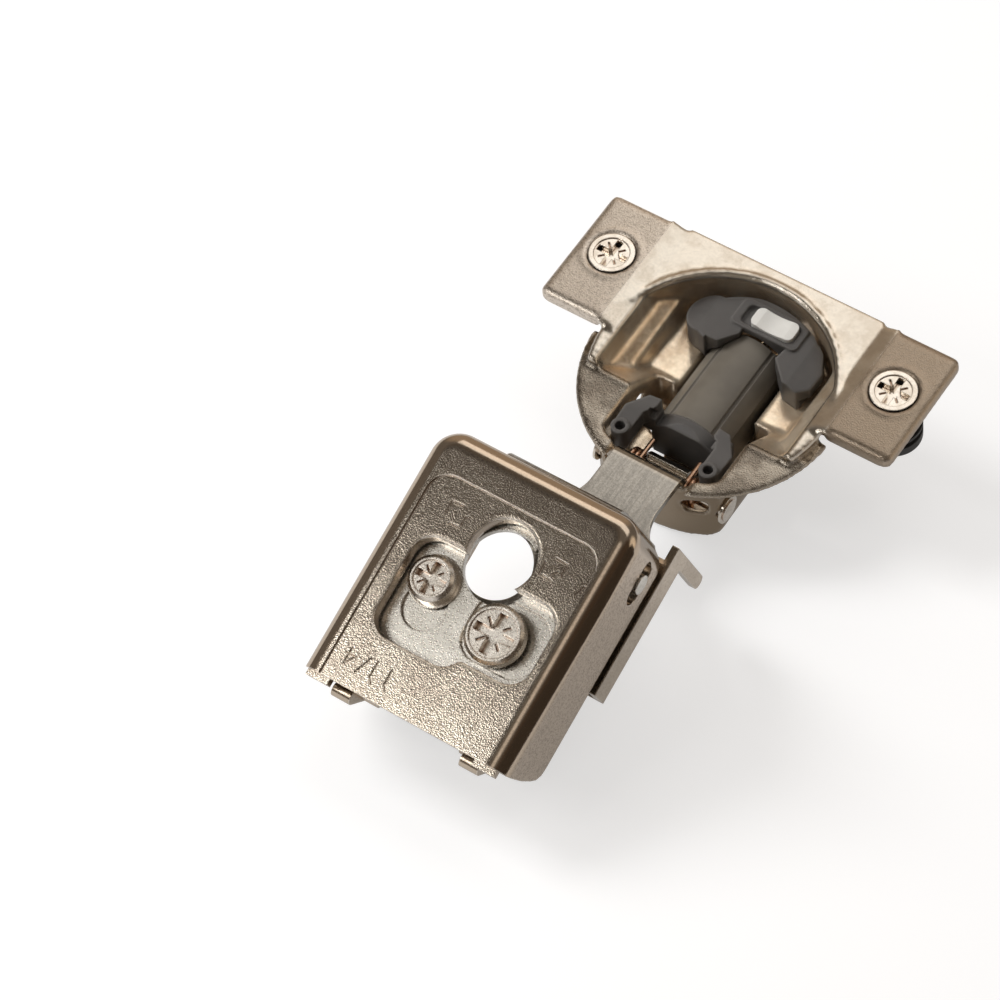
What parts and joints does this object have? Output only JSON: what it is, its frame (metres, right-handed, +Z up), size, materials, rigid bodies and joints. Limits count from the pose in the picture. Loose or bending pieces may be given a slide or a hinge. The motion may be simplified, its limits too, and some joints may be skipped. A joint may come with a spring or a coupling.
{
  "type": "concealed cup hinge",
  "caption": "Concealed soft-closing cup hinge for a face-frame cabinet, fully open, with flanged cup, damper, arm and adjustable clip-on housing.",
  "frame": {"origin": "on the ground plane under the middle of the hinge's bounding box", "axes": "+X along the flange to the right seen from the housing, +Y from the housing towards the cup, +Z up; the hinge lies fully open on its cup and the foot of its housing"},
  "size_m": [0.0558, 0.0934, 0.0326],
  "materials": {
    "nickel_sheet": "satin nickel plate, finely mottled",
    "nickel_bright": "bright nickel plate",
    "plate_light": "light matt plate",
    "damper_grey": "dark grey plastic, slight sheen",
    "saddle_grey": "dark grey plastic",
    "switch_white": "white plastic",
    "dowel_black": "black plastic",
    "spring_wire": "coppery spring wire"
  },
  "bodies": {
    "housing": {"housing_cover": "nickel_sheet", "fixing_base": "nickel_sheet", "depth_washer": "nickel_sheet", "latch_pin": "nickel_bright", "latch_spring": "nickel_bright"},
    "depth_screw": {"depth_screw": "nickel_bright"},
    "carriage": {"adjusting_plate": "plate_light", "height_collar": "nickel_sheet"},
    "height_screw": {"height_screw": "nickel_bright"},
    "arm": {"arm": "nickel_sheet"},
    "latch": {"latch": "nickel_sheet"},
    "cup": {"cup": "nickel_sheet", "main_pin": "nickel_bright", "spring_left": "spring_wire", "spring_right": "spring_wire", "wing_screw_left": "nickel_bright", "wing_screw_right": "nickel_bright", "wing_dowel_left": "dowel_black", "wing_dowel_right": "dowel_black", "damper_saddle": "saddle_grey", "damper_rod": "nickel_bright"},
    "damper": {"damper_body": "damper_grey", "damper_bracket": "saddle_grey"},
    "switch": {"damper_switch": "switch_white"}
  },
  "joints": [
    {"name": "depth_slide", "type": "slide", "parent": "housing", "child": "carriage", "axis": [0, 0.841, 0.541], "range_m": [0, 0.0016]},
    {"name": "depth_screw_turn", "type": "hinge", "parent": "housing", "child": "depth_screw", "pos_m": [-0.0064, -0.03009, 0.02107], "axis": [0, -0.541, 0.841], "range_deg": [0, 360]},
    {"name": "height_slide", "type": "slide", "parent": "carriage", "child": "arm", "axis": [1, 0, 0], "range_m": [-0.001, 0.001]},
    {"name": "height_screw_turn", "type": "hinge", "parent": "carriage", "child": "height_screw", "pos_m": [0.0047, -0.03219, 0.01972], "axis": [0, -0.541, 0.841], "range_deg": [-57, 57]},
    {"name": "door_swing", "type": "hinge", "parent": "arm", "child": "cup", "pos_m": [0, 0.01605, 0.00616], "axis": [1, 0, 0], "range_deg": [0, 109]},
    {"name": "damper_slide", "type": "slide", "parent": "cup", "child": "damper", "axis": [0, 0.9718, 0.236], "range_m": [0, 0.0053]},
    {"name": "switch_slide", "type": "slide", "parent": "cup", "child": "switch", "axis": [1, 0, 0], "range_m": [-0.0014, 0]},
    {"name": "latch_swing", "type": "hinge", "parent": "housing", "child": "latch", "pos_m": [0, -0.03238, 0.00652], "axis": [1, 0, 0], "range_deg": [0, 10], "stiffness_Nm_per_rad": 0.02, "springref_deg": -22.92}
  ],
  "couplings": [
    {"joint": "depth_screw_turn", "follows": "depth_slide", "rad_per_m": 3925},
    {"joint": "height_screw_turn", "follows": "height_slide", "rad_per_m": -994},
    {"joint": "damper_slide", "follows": "door_swing", "m_per_rad": 0.0027845}
  ]
}
